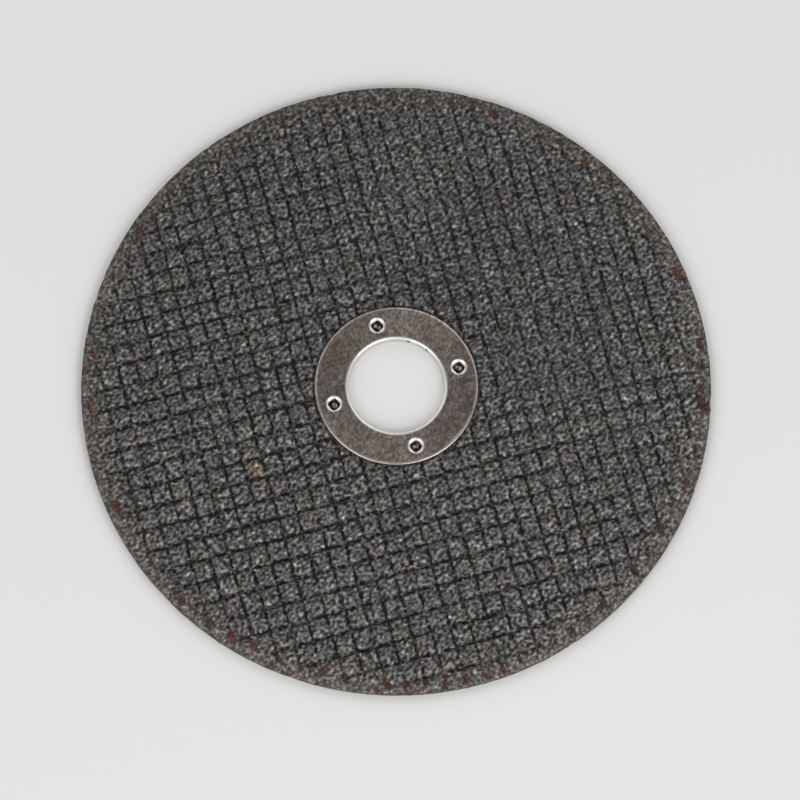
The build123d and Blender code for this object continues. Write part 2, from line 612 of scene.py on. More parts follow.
# rows of points below an edge ring, each with the ring's angles, a radius and a level
def dropRows(shell, ring, rows, rough, seed, flip):
    draw = np.random.default_rng(seed)
    angle = ringAngles(shell, ring)
    for radius, level in rows:
        place = radius(angle) + rough * draw.uniform(-1, 0, angle.shape)
        x, y = place * np.cos(angle), place * np.sin(angle)
        z = level(x, y) + 0.5 * rough * draw.uniform(-1, 1, angle.shape)
        lower = addPoints(shell, x, y, z)
        bandFaces(shell, ring, lower, flip)
        ring = lower
    return ring


# floor of the ring's seat, with a tapered square pocket under each pierced point
def seatFloor(level):
    def height(x, y):
        depth = 0 * x
        for spotX, spotY in piercedSpots:
            turn = radians(pierced["turn"])
            a = (x - spotX) * cos(turn) + (y - spotY) * sin(turn)
            b = (y - spotY) * cos(turn) - (x - spotX) * sin(turn)
            depth = depth + ease(disc["pocketHalf"] - np.maximum(np.abs(a), np.abs(b)), 0, 0.2)
        return level - depth * disc["pocketDepth"]
    return height


# The whole disc as one closed surface: front face, rim, back face, bore wall and the ring's seat.
def makeDisc(material):
    shell = newShell()
    padLines = disc["warpPadLines"], disc["weftPadLines"]
    rim, seat = netFace(shell, disc["grooveLines"], padLines, disc["seatEdge"], faceLevel, 1, 0, 11)
    padLines = disc["backPadLines"], disc["backPadLines"]
    turn = radians(net["backTurn"])
    backRim, backBore = netFace(
        shell, disc["backGrooveLines"], padLines, disc["boreEdge"], disc["backLevel"], -1, turn, 21
    )
    rows = [
        (lambda angle, inset=inset: rimRadius - 0.005 - inset - rimOutline(angle),
         lambda x, y, level=level: level + 0 * x)
        for inset, level in disc["rimRows"]
    ]
    rim = dropRows(shell, rim, rows, 0.05, 12, False)
    zipFaces(shell, rim, backRim)
    radii = [13.6, 13.2, *np.arange(12.6, 9.0, -0.17), 8.62]     # close rows where the pockets are
    rows = [(lambda angle: disc["seatWall"] + 0 * angle, lambda x, y: faceLevel - 0.09 + 0 * x)]
    rows += [
        (lambda angle, radius=radius: radius + 0 * angle, seatFloor(faceLevel - disc["seatDepth"]))
        for radius in radii
    ]
    rows += [
        (lambda angle: disc["boreWall"] + 0 * angle, lambda x, y, level=level: level + 0 * x)
        for level in disc["boreLevels"]
    ]
    seat = dropRows(shell, seat, rows, 0.02, 13, True)
    zipFaces(shell, seat, backBore, flip=True)
    made = makeObject("disc_body", shell, material, ("net", "press"))
    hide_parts("abrasive_disc")
    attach(made, "root")


grit = {
    "size": 0.58,         # spacing of the grains
    "stretch": 1.2,       # they are this much longer along one bearing
    "lay": 25.0,
    "tones": [            # from the resin between the grains to the palest grain; the palest tones are partly painted glints
        (0.27, (0.0295, 0.0277, 0.026)),
        (0.4, (0.0805, 0.0775, 0.074)),
        (0.5, (0.1255, 0.1213, 0.1165)),
        (0.6, (0.1865, 0.181, 0.175)),
        (0.74, (0.312, 0.305, 0.297)),
    ],
    "shard": 0.62,        # size of the larger shards, which differ in tone and have painted shade where they meet
    "shardTones": (0.75, 1.25),
    "gap": 0.55, "gapReach": 0.45,   # painted shade where shards meet: its brightness, and how far in it reaches
    "chip": 0.45,         # size of the finest chips; a few very dark ones are painted shade in pits, and a few pale ones are painted glints
    "chipTones": [(0.0, 0.5), (0.12, 0.92), (0.85, 1.08), (1.0, 1.8)],
    # slow changes of tone, from patch to patch and from pad to pad
    "patchSize": 9, "patches": [(0.35, 0.935), (0.65, 1.055)],
    "padSize": 2.2, "pads": [(0.3, (0.942, 0.942, 0.946)), (0.7, (1.06, 1.058, 1.052))],
    "hue": 0.06, "hueSizes": ((0, 1.3), (2, 1.6)),   # how far red and blue stray from grey
    # the dark lines, dark resin with painted shade in the grooves: their colour, how far it covers the
    # grit, and how much less where two cross
    "grooveColour": (0.0049, 0.0043, 0.0042), "grooveShare": 0.96, "crossing": 0.2,
    "lineReach": {"X": 0.35, "Y": 0.42},             # half width of the lines
    "ragged": 1.2, "raggedSize": 0.6,                # how far the lines' edges stray
    # where the lines break: size and range of the noise, and what is left of a line at its low end
    "breaks": {"X": (0.7, 0.38, 0.54, 0.4), "Y": (0.9, 0.4, 0.57, 0.1)},
    # painted light and shade on the pads' edges across a yarn: phase, with the groove at 0.5, and
    # brightness
    "lips": {
        "X": [(0.0, 0.985), (0.2, 0.99), (0.28, 1.07), (0.35, 1.02), (0.42, 0.93), (0.6, 1.0), (0.67, 1.07),
              (0.8, 1.0), (1.0, 0.985)],
        "Y": [(0.0, 0.975), (0.25, 0.975), (0.33, 0.9), (0.42, 0.84), (0.56, 0.84), (0.62, 0.97),
              (0.7, 1.16), (0.76, 1.08), (0.88, 1.0), (1.0, 0.975)],
    },
    # painted light and shade: tints that make the face paler towards -Y and darker towards +Y, first over
    # the whole face and then more at its edge
    "side": [(0.0, (1.163, 1.148, 1.15)), (1.0, (0.95, 0.95, 0.951))],
    "edge": [(0.0, (1.13, 1.075, 1.045)), (1.0, (0.965, 0.93, 0.91))],
    # the spans are radii over which something sets in
    "edgeSpan": (47.0, 50.6),
    "edgeLift": 1.1, "liftSpan": (50.8, 51.6),              # brightness of the last 1.5 mm
    "paleSpan": (50.2, 51.4), "darkSpan": (47.8, 51.2),     # the palest and the darkest grains go
    "edgeGrain": (0.39, 0.61),                              # the range of tones that is left there
    "rimTint": (0.075, 0.05, 0.04), "rimSpan": (52.0, 52.45),
    "rimLevels": (0.95, 1.12, 0.65, 0.25),                  # two levels, and the tint's share at each
    "seatShade": 0.42,                                      # the dark line round the ring
    "stainSize": 0.7, "stainEdge": (0.35, 0.6, 0.65, 1.0),  # how a noise thins the stains
    "shardBump": (0.2, 0.8), "chipBump": (0.08, 0.4),       # depth and strength
    "roughness": (0.9, 0.5), "gloss": 0.15,                 # roughness of most chips, and of the palest
}


# Stains in the grit, and three wide patches that make the face darker on its +X side: x, y, bearing, half
# length, half width, and the tint that multiplies its colour
stainsAndDarkPatches = [
    (-26.5, -6.7, -71, 3.6, 1.1, (2.0, 1.6, 1.15)),
    (-25.3, -11.1, 40, 1.0, 0.7, (1.3, 0.85, 0.78)),
    (-39.4, -9.6, 73, 1.2, 0.7, (1.8, 1.5, 1.1)),
    (27.6, 24.2, 20, 0.7, 0.5, (1.6, 0.95, 0.8)),
    (37.5, 21.6, 0, 1.0, 0.8, (1.5, 1.3, 1.05)),
    (28.0, -2.5, 0, 15.0, 13.0, (0.83, 0.84, 0.85)),
    (16.0, 21.0, 55, 12.0, 10.0, (0.88, 0.89, 0.9)),
    (31.0, 18.0, 30, 12.0, 10.0, (0.92, 0.93, 0.94)),
]


# Dark grit in black resin. The grains are one octave of noise, stretched along one bearing, and cells in
# space are shards that vary their tone, with painted shade where they meet.
def makeGrit():
    material, tree, shader = newMaterial("black_grit")
    place = objectPlace(tree)
    laid = laidPlace(tree, place, grit)
    radius, height = axisDistance(tree, place), maths(tree, "DIVIDE", axisOf(tree, place, "Z"), mm)
    shards, chips = cells(tree, laid, grit["shard"]), cells(tree, laid, grit["chip"])
    shardTone, chipTone = (
        addNode(tree, "SeparateColor", {0: node.outputs["Color"]}).outputs[0] for node in (shards, chips)
    )
    darkest, palest = grit["edgeGrain"]
    grain = cloud(tree, laid, grit["size"], 0.0)
    grain = maths(tree, "MINIMUM", grain, fade(tree, radius, *grit["paleSpan"], 1.0, palest))
    grain = maths(tree, "MAXIMUM", grain, fade(tree, radius, *grit["darkSpan"], 0.0, darkest))
    # grain tones, whose palest end is partly painted glints
    colour = ramp(tree, grain, grit["tones"])
    colour = tinted(tree, colour, ramp(tree, shardTone, list(enumerate(grit["shardTones"]))))
    # painted shade where the shards meet
    gapShadeDistance = cells(tree, laid, grit["shard"], "DISTANCE_TO_EDGE").outputs["Distance"]
    colour = tinted(tree, colour, fade(tree, gapShadeDistance, 0.0, grit["gapReach"], grit["gap"], 1.0))
    # the darkest chips are painted shade in pits, and the palest are painted glints
    colour = tinted(tree, colour, ramp(tree, chipTone, grit["chipTones"]))
    colour = tinted(tree, colour, ramp(tree, cloud(tree, place, grit["patchSize"]), grit["patches"]))
    colour = tinted(tree, colour, ramp(tree, cloud(tree, place, grit["padSize"], 1.0), grit["pads"]))
    for k, size in grit["hueSizes"]:
        low, high = [1.0] * 3, [1.0] * 3
        low[k], high[k] = 1 - grit["hue"], 1 + grit["hue"]
        colour = tinted(tree, colour, ramp(tree, cloud(tree, place, size), [(0.3, low), (0.7, high)]))
    soft = fade(tree, cloud(tree, place, grit["stainSize"]), *grit["stainEdge"])
    for x, y, bearing, halfLength, halfWidth, tint in stainsAndDarkPatches:
        near = patchShare(tree, place, x, y, bearing, halfLength, halfWidth)
        colour = tinted(tree, colour, tint, maths(tree, "MULTIPLY", near, soft))
    # painted light and shade: paler towards -Y and darker towards +Y, more at the edge
    far = fade(tree, axisOf(tree, place, "Y"), -50 * mm, 50 * mm)
    colour = tinted(tree, colour, ramp(tree, far, grit["side"]))
    colour = tinted(tree, colour, ramp(tree, far, grit["edge"]), fade(tree, radius, *grit["edgeSpan"]))
    colour = tinted(tree, colour, grit["edgeLift"], fade(tree, radius, *grit["liftSpan"]))
    rimShare = fade(tree, height, *grit["rimLevels"])
    rimShare = maths(tree, "MULTIPLY", fade(tree, radius, *grit["rimSpan"]), rimShare)
    colour = mixColours(tree, rimShare, colour, grit["rimTint"])
    seat = disc["seatEdge"]
    colour = tinted(tree, colour, fade(tree, radius, seat - 0.05, seat + 0.25, grit["seatShade"], 1.0))
    normal = None
    for node, (depth, strength) in ((shards, grit["shardBump"]), (chips, grit["chipBump"])):
        normal = bump(tree, maths(tree, "SUBTRACT", 1.0, node.outputs["Distance"]), depth, strength, normal)
    setSockets(tree, shader, {
        "Base Color": grooved(tree, place, colour),
        "Roughness": fade(tree, chipTone, 0.5, 1.0, *grit["roughness"]),
        "Specular IOR Level": grit["gloss"],
        "Normal": normal,
    })
    return material


# The grooves over a colour, from the mesh's net and press marks: a ragged dark line where the phase is a
# whole number, dark resin with painted shade, broken here and there by a slower noise, and paler where two
# yarns cross. Beside it, painted shade darkens the pads' slopes, and painted light and shade mark the pads'
# edges.
def grooved(tree, place, colour):
    phases, press = (
        addNode(tree, "SeparateXYZ", {0: addNode(tree, "Attribute", attribute_name=name).outputs["Vector"]})
        for name in ("net", "press")
    )
    ragged = maths(tree, "SUBTRACT", cloud(tree, place, grit["raggedSize"], 1.0), 0.5)
    ragged = maths(tree, "MULTIPLY", ragged, grit["ragged"])
    groove, slopeShade, crossing = 0.0, 0.0, grit["crossing"]
    for axis, pitch in (("X", net["warpPitch"]), ("Y", net["weftPitch"])):
        strength = press.outputs[axis]
        size, low, high, left = grit["breaks"][axis]
        breaks = fade(tree, cloud(tree, place, size, 1.0), low, high, left, 1.25)
        across = maths(tree, "FRACT", maths(tree, "ADD", phases.outputs[axis], 0.5))
        # painted light and shade on the pads' edges beside the groove
        colour = tinted(tree, colour, ramp(tree, across, grit["lips"][axis]), strength)
        # the dark line: dark resin with painted shade in the groove
        away = maths(tree, "MULTIPLY", maths(tree, "PINGPONG", phases.outputs[axis], 0.5), pitch)
        line = fade(tree, maths(tree, "ADD", away, ragged), 0.02, grit["lineReach"][axis], 1.0, 0.0)
        line = maths(tree, "MULTIPLY", maths(tree, "MULTIPLY", line, strength), breaks)
        groove = maths(tree, "MAXIMUM", groove, line)
        # painted shade on the pads' slopes beside the groove
        slope = maths(tree, "MULTIPLY", fade(tree, away, 0.15, 0.6, 0.2, 0.0), strength)
        slopeShade = maths(tree, "MAXIMUM", slopeShade, slope)
        crossing = maths(tree, "MULTIPLY", crossing, fade(tree, away, 0.1, 0.55, 1.0, 0.0))
    colour = mixColours(tree, slopeShade, colour, grit["grooveColour"])
    groove = maths(tree, "SUBTRACT", maths(tree, "MINIMUM", groove, grit["grooveShare"]), crossing)
    return mixColours(tree, groove, colour, grit["grooveColour"])


# Steel ring

ring = {
    "columns": 480,
    "sheet": 0.3,
    "bend": 0.6,          # radius of the bend into the bore, on the visible side
    "edgeRoll": 0.42, "edgeDrop": 0.2,   # how far in and down the sheared edge rolls over
    "collarEnd": ringLow.z,
    "shoulderRadius": 1.38,
    "throatDepth": 0.3,
    "clawEnd": 0.5,
    "notchHeight": 0.4, "notchHalf": 0.55,
    "clawLean": 0.08,      # share by which the claws lean in
    "undersideHole": 1.62,
    "dish": 0.025, "dishReach": 0.9,
    "edgeTaper": 0.03,     # how much smaller the flange is at its underside
    "ragged": 0.02,        # random radius of the torn edges
    # rows of points from the flange to the throat, on to the claws' ends, and back up outside them
    "shoulderShares": (0.12, 0.26, 0.42, 0.58, 0.74, 0.88, 1.0),
    "clawShares": (0.3, 0.65, 1.0),
    "outsideShares": (0.1, 0.5, 0.9),
}
underside = flangeLevel - ring["sheet"]


# The section as a closed line from the collar's end up the bore wall, round the bend, out over the
# flange, round its edge, and back under it. Arcs are a centre plus a radius at even angles.
def ringSection():
    bore, bend, sheet = boreRadius, ring["bend"], ring["sheet"]
    roll, drop = ring["edgeRoll"], ring["edgeDrop"]
    parts = []

    def line(r0, z0, r1, z1, count):
        share = np.linspace(0, 1, count, endpoint=False)
        parts.append(np.stack([r0 + (r1 - r0) * share, z0 + (z1 - z0) * share]))

    def arc(r, z, wide, high, start, end, count):
        turn = np.radians(np.linspace(start, end, count, endpoint=False))
        parts.append(np.stack([r + wide * np.cos(turn), z + high * np.sin(turn)]))

    line(bore, ring["collarEnd"], bore, flangeLevel - bend, 5)
    arc(bore + bend, flangeLevel - bend, bend, bend, 180, 90, 9)
    line(bore + bend, flangeLevel, flangeRadius - roll, flangeLevel, 28)
    arc(flangeRadius - roll, flangeLevel - drop, roll, drop, 90, 0, 8)
    line(flangeRadius, flangeLevel - drop, flangeRadius - ring["edgeTaper"], underside, 2)
    line(flangeRadius - ring["edgeTaper"], underside, bore + bend, underside, 20)
    arc(bore + bend, flangeLevel - bend, bend - sheet, bend - sheet, 90, 180, 3)
    line(bore + sheet, flangeLevel - bend, bore + sheet, ring["collarEnd"], 4)
    line(bore + sheet, ring["collarEnd"], bore, ring["collarEnd"], 2)
    return np.concatenate(parts, axis=1)


# distance of a square's outline from its middle, with well rounded corners: half its side over
# (|cos|^n + |sin|^n)^(1/n), where n says how sharp the corners are
def squareReach(angle, half):
    turn, sharp = angle - radians(pierced["turn"]), pierced["sharpness"]
    return half / (np.abs(np.cos(turn)) ** sharp + np.abs(np.sin(turn)) ** sharp) ** (1 / sharp)


# One pierced point: from a round shoulder in the flange down to a square throat, to the ends of the
# four claws, which notches part at the square's corners, and up outside them to the underside.
def pierceFlange(shell, top, below, spot, draw):
    angle = ringAngles(shell, top, spot)
    half = pierced["side"] / 2
    shoulder, throat = ring["shoulderRadius"], flangeLevel - ring["throatDepth"]
    turn = np.mod(angle - radians(pierced["turn"]) + pi / 4, pi / 2) - pi / 4
    cornerAway = (pi / 4 - np.abs(turn)) * half * 1.3
    notch = ring["notchHeight"] * np.clip(1 - cornerAway / ring["notchHalf"], 0, 1)
    tip = ring["clawEnd"] + notch
    outer = squareReach(angle, half + ring["sheet"] * 0.9)
    inner = squareReach(angle, half)
    ragged = ring["ragged"] * draw.uniform(-1, 1, angle.shape)
    rows = []
    for share in ring["shoulderShares"]:
        radius = shoulder + (inner - shoulder) * (1 - cos(share * pi / 2)) ** 0.8
        level = flangeLevel - (flangeLevel - throat) * sin(share * pi / 2) ** 1.7
        rows.append((radius + ragged * share, level))
    for share in ring["clawShares"]:
        rows.append((inner * (1 - ring["clawLean"] * share) + ragged, throat + (tip - throat) * share))
    rows.append(((inner + outer) / 2 - 0.03, tip - 0.03))
    for share in ring["outsideShares"]:
        rows.append((outer * (0.9 + 0.1 * share), tip + (underside - 0.06 - tip) * share))
    ringNow = top
    for radius, level in rows:
        x, y = spot[0] + radius * np.cos(angle), spot[1] + radius * np.sin(angle)
        lower = addPoints(shell, x, y, level)
        bandFaces(shell, ringNow, lower, flip=True)
        ringNow = lower
    zipFaces(shell, ringNow, below, flip=True, centre=spot)


# the ring as its section carried round the axis, dished a little round each pierced point
def makeRing(material):
    shell = newShell()
    draw = np.random.default_rng(61)
    r, z = ringSection()
    angle = np.linspace(0, 2 * pi, ring["columns"], endpoint=False)
    x, y = r[:, None] * np.cos(angle), r[:, None] * np.sin(angle)
    z = np.broadcast_to(z[:, None], x.shape).copy()
    isTop, isBelow = z > flangeLevel - 1e-6, np.abs(z - underside) < 1e-6
    flags, spots = np.zeros(x.shape, bool), []
    for spot in piercedSpots:
        away, bearing = np.hypot(x - spot[0], y - spot[1]), np.arctan2(y - spot[1], x - spot[0])
        pair = []
        for part, size in ((isTop, ring["shoulderRadius"]), (isBelow, ring["undersideHole"])):
            cut = part & (away < size + 0.05)
            x = np.where(cut, spot[0] + size * np.cos(bearing), x)
            y = np.where(cut, spot[1] + size * np.sin(bearing), y)
            flags |= cut
            pair.append(cut)
        spots.append(pair)
        away = np.hypot(x - spot[0], y - spot[1])
        dish = bell(np.maximum(away - ring["shoulderRadius"], 0), ring["dishReach"])
        z = z - isTop * (r[:, None] > boreRadius + ring["bend"]) * ring["dish"] * dish * (dish > 0.01)
    numbers = addPoints(shell, x, y, z)
    closed = np.vstack([numbers, numbers[:1]])
    closed = np.hstack([closed, closed[:, :1]])
    for faces in cutQuads(gridQuads(closed), flags.ravel()):
        addFaces(shell, faces)
    for spot, (topCut, belowCut) in zip(piercedSpots, spots):
        top = edgeRing(shell, numbers[topCut], spot)
        below = edgeRing(shell, numbers[belowCut], spot)
        pierceFlange(shell, top, below, spot, draw)
    made = makeObject("ring_body", shell, material)
    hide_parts("centre_ring")
    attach(made, "root")


tin = {
    "colour": (0.47, 0.41, 0.357),
    "dull": (0.17, 0.14, 0.119),
    "burnished": (0.74, 0.72, 0.69),
    "warmEdge": (0.52, 0.46, 0.425),
    "stretch": 1.35, "lay": 48.0,   # the mottle is this much longer along one bearing
    "mottleSize": 0.38, "speckSize": 0.34,
    "speckShares": (0.55, 0.3),     # how strong the dull and the burnished specks are
    "blots": [(0.35, 0.88), (0.65, 1.12)],
    "clouds": [(0.35, (0.84, 0.82, 0.8)), (0.65, (1.14, 1.15, 1.17))],
    "brightTurn": 55.0, "brightTones": (0.84, 1.2),     # painted sheen: paler towards this bearing and its opposite
    # how far the burnish reaches from the bore and from a pierced point's middle, and how far the warm edge
    # with its painted highlight reaches in from the outer edge
    "bendSpan": (0.25, 0.75), "shoulderSpan": (1.33, 1.44), "edgeSpan": (0.6, 0.25),
    "wornTurn": -110.0, "wornShares": (0.45, 1.45),     # painted highlight: the outer edge's warm tint is strongest this way
    "dirt": (0.02, 0.018, 0.016),
    "roughness": (0.42, 0.34),      # of the dull and the pale parts of the mottle
}
# light scratches on the flange, and one painted highlight, the one at (6.8, -11.2), along a bent strip of
# the outer edge: middle, bearing, half length, half width, strength
scratchesAndEdgeHighlight = [
    (-4.5, 10.3, 115, 0.8, 0.1, 0.5), (-2.9, 9.8, 80, 0.7, 0.1, 0.4), (6.5, -10.8, 25, 0.9, 0.06, 0.4),
    (-9.2, -7.2, 60, 0.5, 0.08, 0.4), (3.4, -10.6, 140, 0.4, 0.06, 0.4), (6.8, -11.2, 31, 2.0, 0.15, 0.8),
    (-6.6, 8.6, 20, 0.3, 0.14, 0.4), (9.6, -3.4, 70, 0.4, 0.08, 0.35), (1.2, 11.6, 95, 0.5, 0.08, 0.35),
]
# dark specks of dirt in the bore: bearing, level, radius
boreDirt = [
    (58.3, 0.78, 0.42), (33.9, 0.86, 0.36), (46.0, 0.85, 0.15), (42.0, 0.85, 0.15), (38.5, 0.85, 0.15),
]


# Tinned steel, dull and mottled on the flat, with a painted sheen along one diameter, and burnished where
# it was rolled: the bend at the bore, the shoulders of the pierced points and the outer edge. The outer
# edge's warm tint is also a painted highlight, strongest towards one bearing.
def makeTin():
    material, tree, shader = newMaterial("tinned_steel")
    place = objectPlace(tree)
    laid = laidPlace(tree, place, tin)
    mottle = cloud(tree, laid, tin["mottleSize"], 2.0, 0.6)
    speck = cells(tree, laid, tin["speckSize"]).outputs["Color"]
    speck = addNode(tree, "SeparateColor", {0: speck}).outputs
    dull, burnished = tin["speckShares"]
    colour = ramp(tree, mottle, [(0.37, tin["dull"]), (0.63, tin["colour"])])
    colour = tinted(tree, colour, ramp(tree, cloud(tree, place, 1.1, 1.0), tin["blots"]))
    colour = mixColours(tree, fade(tree, speck[0], 0.4, 1.0, 0.0, dull), colour, tin["dull"])
    colour = mixColours(tree, fade(tree, speck[1], 0.93, 0.98, 0.0, burnished), colour, tin["burnished"])
    colour = tinted(tree, colour, ramp(tree, cloud(tree, place, 3.0, 3.0), tin["clouds"]))
    # painted sheen, paler along one diameter
    bearing = maths(tree, "ARCTAN2", axisOf(tree, place, "Y"), axisOf(tree, place, "X"))
    sheenLobe = maths(tree, "MULTIPLY", maths(tree, "SUBTRACT", bearing, radians(tin["brightTurn"])), 2)
    sheenLobe = maths(tree, "COSINE", sheenLobe)
    colour = tinted(tree, colour, fade(tree, sheenLobe, -1.0, 1.0, *tin["brightTones"]))
    radius = axisDistance(tree, place)
    bright = fade(tree, radius, *(boreRadius + reach for reach in tin["bendSpan"]), 1.0, 0.0)
    for spotX, spotY in piercedSpots:
        centre = (-spotX * mm, -spotY * mm, 0)
        moved = addNode(tree, "VectorMath", {0: place, 1: centre}, operation="ADD").outputs[0]
        near = fade(tree, axisDistance(tree, moved), *tin["shoulderSpan"], 1.0, 0.0)
        bright = maths(tree, "MAXIMUM", bright, near)
    # burnished scratches, and the painted highlight of the edge's bent strip
    for x, y, bearing, halfLength, halfWidth, strength in scratchesAndEdgeHighlight:
        mark = patchShare(tree, place, x, y, bearing, halfLength, halfWidth)
        mark = maths(tree, "MULTIPLY", mark, strength)
        bright = maths(tree, "MAXIMUM", bright, mark)
    colour = mixColours(tree, bright, colour, tin["burnished"])
    # painted highlight: the warm outer edge is paler towards one bearing
    highlightWay = (cos(radians(tin["wornTurn"])), sin(radians(tin["wornTurn"])), 0)
    across = addNode(tree, "VectorMath", {0: place, 1: highlightWay}, operation="DOT_PRODUCT").outputs["Value"]
    edge = fade(tree, radius, *(flangeRadius - reach for reach in tin["edgeSpan"]))
    edge = maths(tree, "MULTIPLY", edge, fade(tree, across, -12 * mm, 12 * mm, *tin["wornShares"]))
    edge = maths(tree, "MULTIPLY", edge, fade(tree, cloud(tree, place, 1.2, 2.0), 0.35, 0.55, 0.5, 1.0))
    colour = mixColours(tree, edge, colour, tin["warmEdge"])
    for angle, level, size in boreDirt:
        spot = (boreRadius * cos(radians(angle)) * mm, boreRadius * sin(radians(angle)) * mm, level * mm)
        away = addNode(tree, "VectorMath", {0: place, 1: spot}, operation="DISTANCE").outputs["Value"]
        dirt = fade(tree, away, 0.5 * size * mm, size * mm, 0.92, 0.0)
        colour = mixColours(tree, dirt, colour, tin["dirt"])
    rough = fade(tree, mottle, 0.3, 0.7, *tin["roughness"])
    setSockets(tree, shader, {
        "Base Color": colour,
        "Metallic": 1.0,
        "Roughness": maths(tree, "ADD", rough, maths(tree, "MULTIPLY", bright, 0.04)),
        "Normal": bump(tree, cloud(tree, place, 0.35, 3.0), 0.006, 0.5),
    })
    return material


# Yarn ends, specks and the grains in the pierced points

# Closed bodies, each along its own line. Along the line the section grows from one pole to the other
# as the root of 1 - u^2. Round the line it is an ellipse with seeded bulges.
def addLumps(shell, where, heading, half, rough, seed, rows=6, columns=8):
    draw = np.random.default_rng(seed)
    where, half = np.asarray(where, float), np.asarray(half, float)
    heading = np.radians(np.asarray(heading, float))[:, None, None]
    count = len(where)
    u = np.cos(np.linspace(pi, 0, rows + 2)[1:-1])[None, :, None]
    around = np.linspace(0, 2 * pi, columns, endpoint=False)[None, None, :]
    size = np.sqrt(1 - u ** 2) * (1 + rough * draw.uniform(-1, 1, (count, rows, columns)))
    wander = rough * draw.uniform(-0.5, 0.5, (count, rows, 1))
    along = u * half[:, 0, None, None] + 0 * size
    across = (size * np.cos(around) + wander) * half[:, 1, None, None]
    upward = size * np.sin(around) * half[:, 2, None, None]
    x = where[:, 0, None, None] + along * np.cos(heading) - across * np.sin(heading)
    y = where[:, 1, None, None] + along * np.sin(heading) + across * np.cos(heading)
    numbers = addPoints(shell, x, y, where[:, 2, None, None] + upward)
    a, b = numbers[:, :-1, :], numbers[:, 1:, :]
    faces = np.stack([a, b, np.roll(b, -1, axis=2), np.roll(a, -1, axis=2)], axis=-1)
    addFaces(shell, faces.reshape(-1, 4), flip=True)
    for end, row, flip in ((-1, 0, True), (1, rows - 1, False)):
        reach = end * half[:, 0]
        tipX = where[:, 0] + reach * np.cos(heading[:, 0, 0])
        tipY = where[:, 1] + reach * np.sin(heading[:, 0, 0])
        tips = addPoints(shell, tipX, tipY, where[:, 2])
        edge = numbers[:, row, :]
        tips = np.broadcast_to(tips[:, None], edge.shape)
        fan = np.stack([tips, edge, np.roll(edge, -1, axis=1)], axis=-1)
        addFaces(shell, fan.reshape(-1, 3), flip)


yarn = {
    "ends": [             # side (1 towards +Y), size, and the numbers of the yarns
        (1, 1.05, (-11, -10, 7, 8, 9, 13, 14)),
        (1, 0.8, (-15, -13, -12, -9, -5, -4, -1, 1, 2, 6, 12)),
        (1, 0.55, (-14, -8, -6, -3, -2, 3, 4, 5, 15)),
        (-1, 1.1, (-14, -13, -12, -11, -8, -5, -4, -2, -1, 0, 7, 9, 11)),
        (-1, 0.85, (-10, -9, -7, -3, 1, 5, 13)),
        (-1, 0.6, (-15, 2, 3, 4, 6, 10, 14)),
    ],
    "endRadius": 50.75,
    "ownRadii": {         # ends that stop short of that radius, or past it: (yarn, side) and radius
        (-10, 1): 50.3, (-11, 1): 50.5, (-4, 1): 50.5, (1, 1): 50.4, (7, 1): 50.4, (9, 1): 50.5,
        (-13, 1): 51.0, (-3, 1): 51.1, (12, 1): 51.0, (14, 1): 51.1,
        (-11, -1): 50.3, (-10, -1): 50.4, (-8, -1): 50.4, (7, -1): 50.5, (9, -1): 50.4, (11, -1): 50.2,
        (-14, -1): 51.0, (-2, -1): 51.1, (-1, -1): 51.2, (0, -1): 51.2, (1, -1): 51.2, (2, -1): 51.1,
    },
    "halfLength": 1.0, "halfWidth": 0.5, "halfHeight": 0.1,
    "strands": 5,
    "fan": 9.0,           # angle by which the outer strands spread from the middle one
    "spread": 0.7,        # the outer strands' distance from the middle one, in half widths
    "slide": 0.35,        # random shift along a strand, in half lengths
    "stray": 5.0,         # random turn of a strand
    "radiusStray": 0.15, "sizeRange": (0.85, 1.15),
    "lengths": (0.55, 0.95), "widths": (0.3, 0.5), "heights": (0.7, 1.1),   # of a strand, as shares
    "levels": (-0.06, 0.02),
    "rough": 0.35,
    "tones": [(0.36, (0.024, 0.015, 0.012)), (0.5, (0.062, 0.03, 0.022)), (0.64, (0.112, 0.051, 0.036))],
    "shifts": [(0.36, (0.72, 0.8, 0.86)), (0.5, (0.95, 0.96, 0.97)), (0.64, (1.3, 1.25, 1.1))],
}
# larger scraps of yarn at the rim: place, bearing, half length, half width
yarnScraps = [
    (51.1, 4.2, 100, 2.0, 0.9), (50.6, -8.2, 86, 1.6, 0.5), (49.6, -11.9, 90, 0.8, 0.55),
    (48.3, -15.4, 88, 0.8, 0.4), (47.9, -18.2, 101, 1.7, 1.0), (48.9, 13.0, 0, 0.5, 0.3),
    (-50.4, -6.4, 102, 1.9, 0.5), (-45.4, -22.7, 100, 0.8, 0.3),
    (-49.8, 11.3, 82, 1.5, 0.55), (34.3, -35.4, 90, 0.9, 0.4),
]


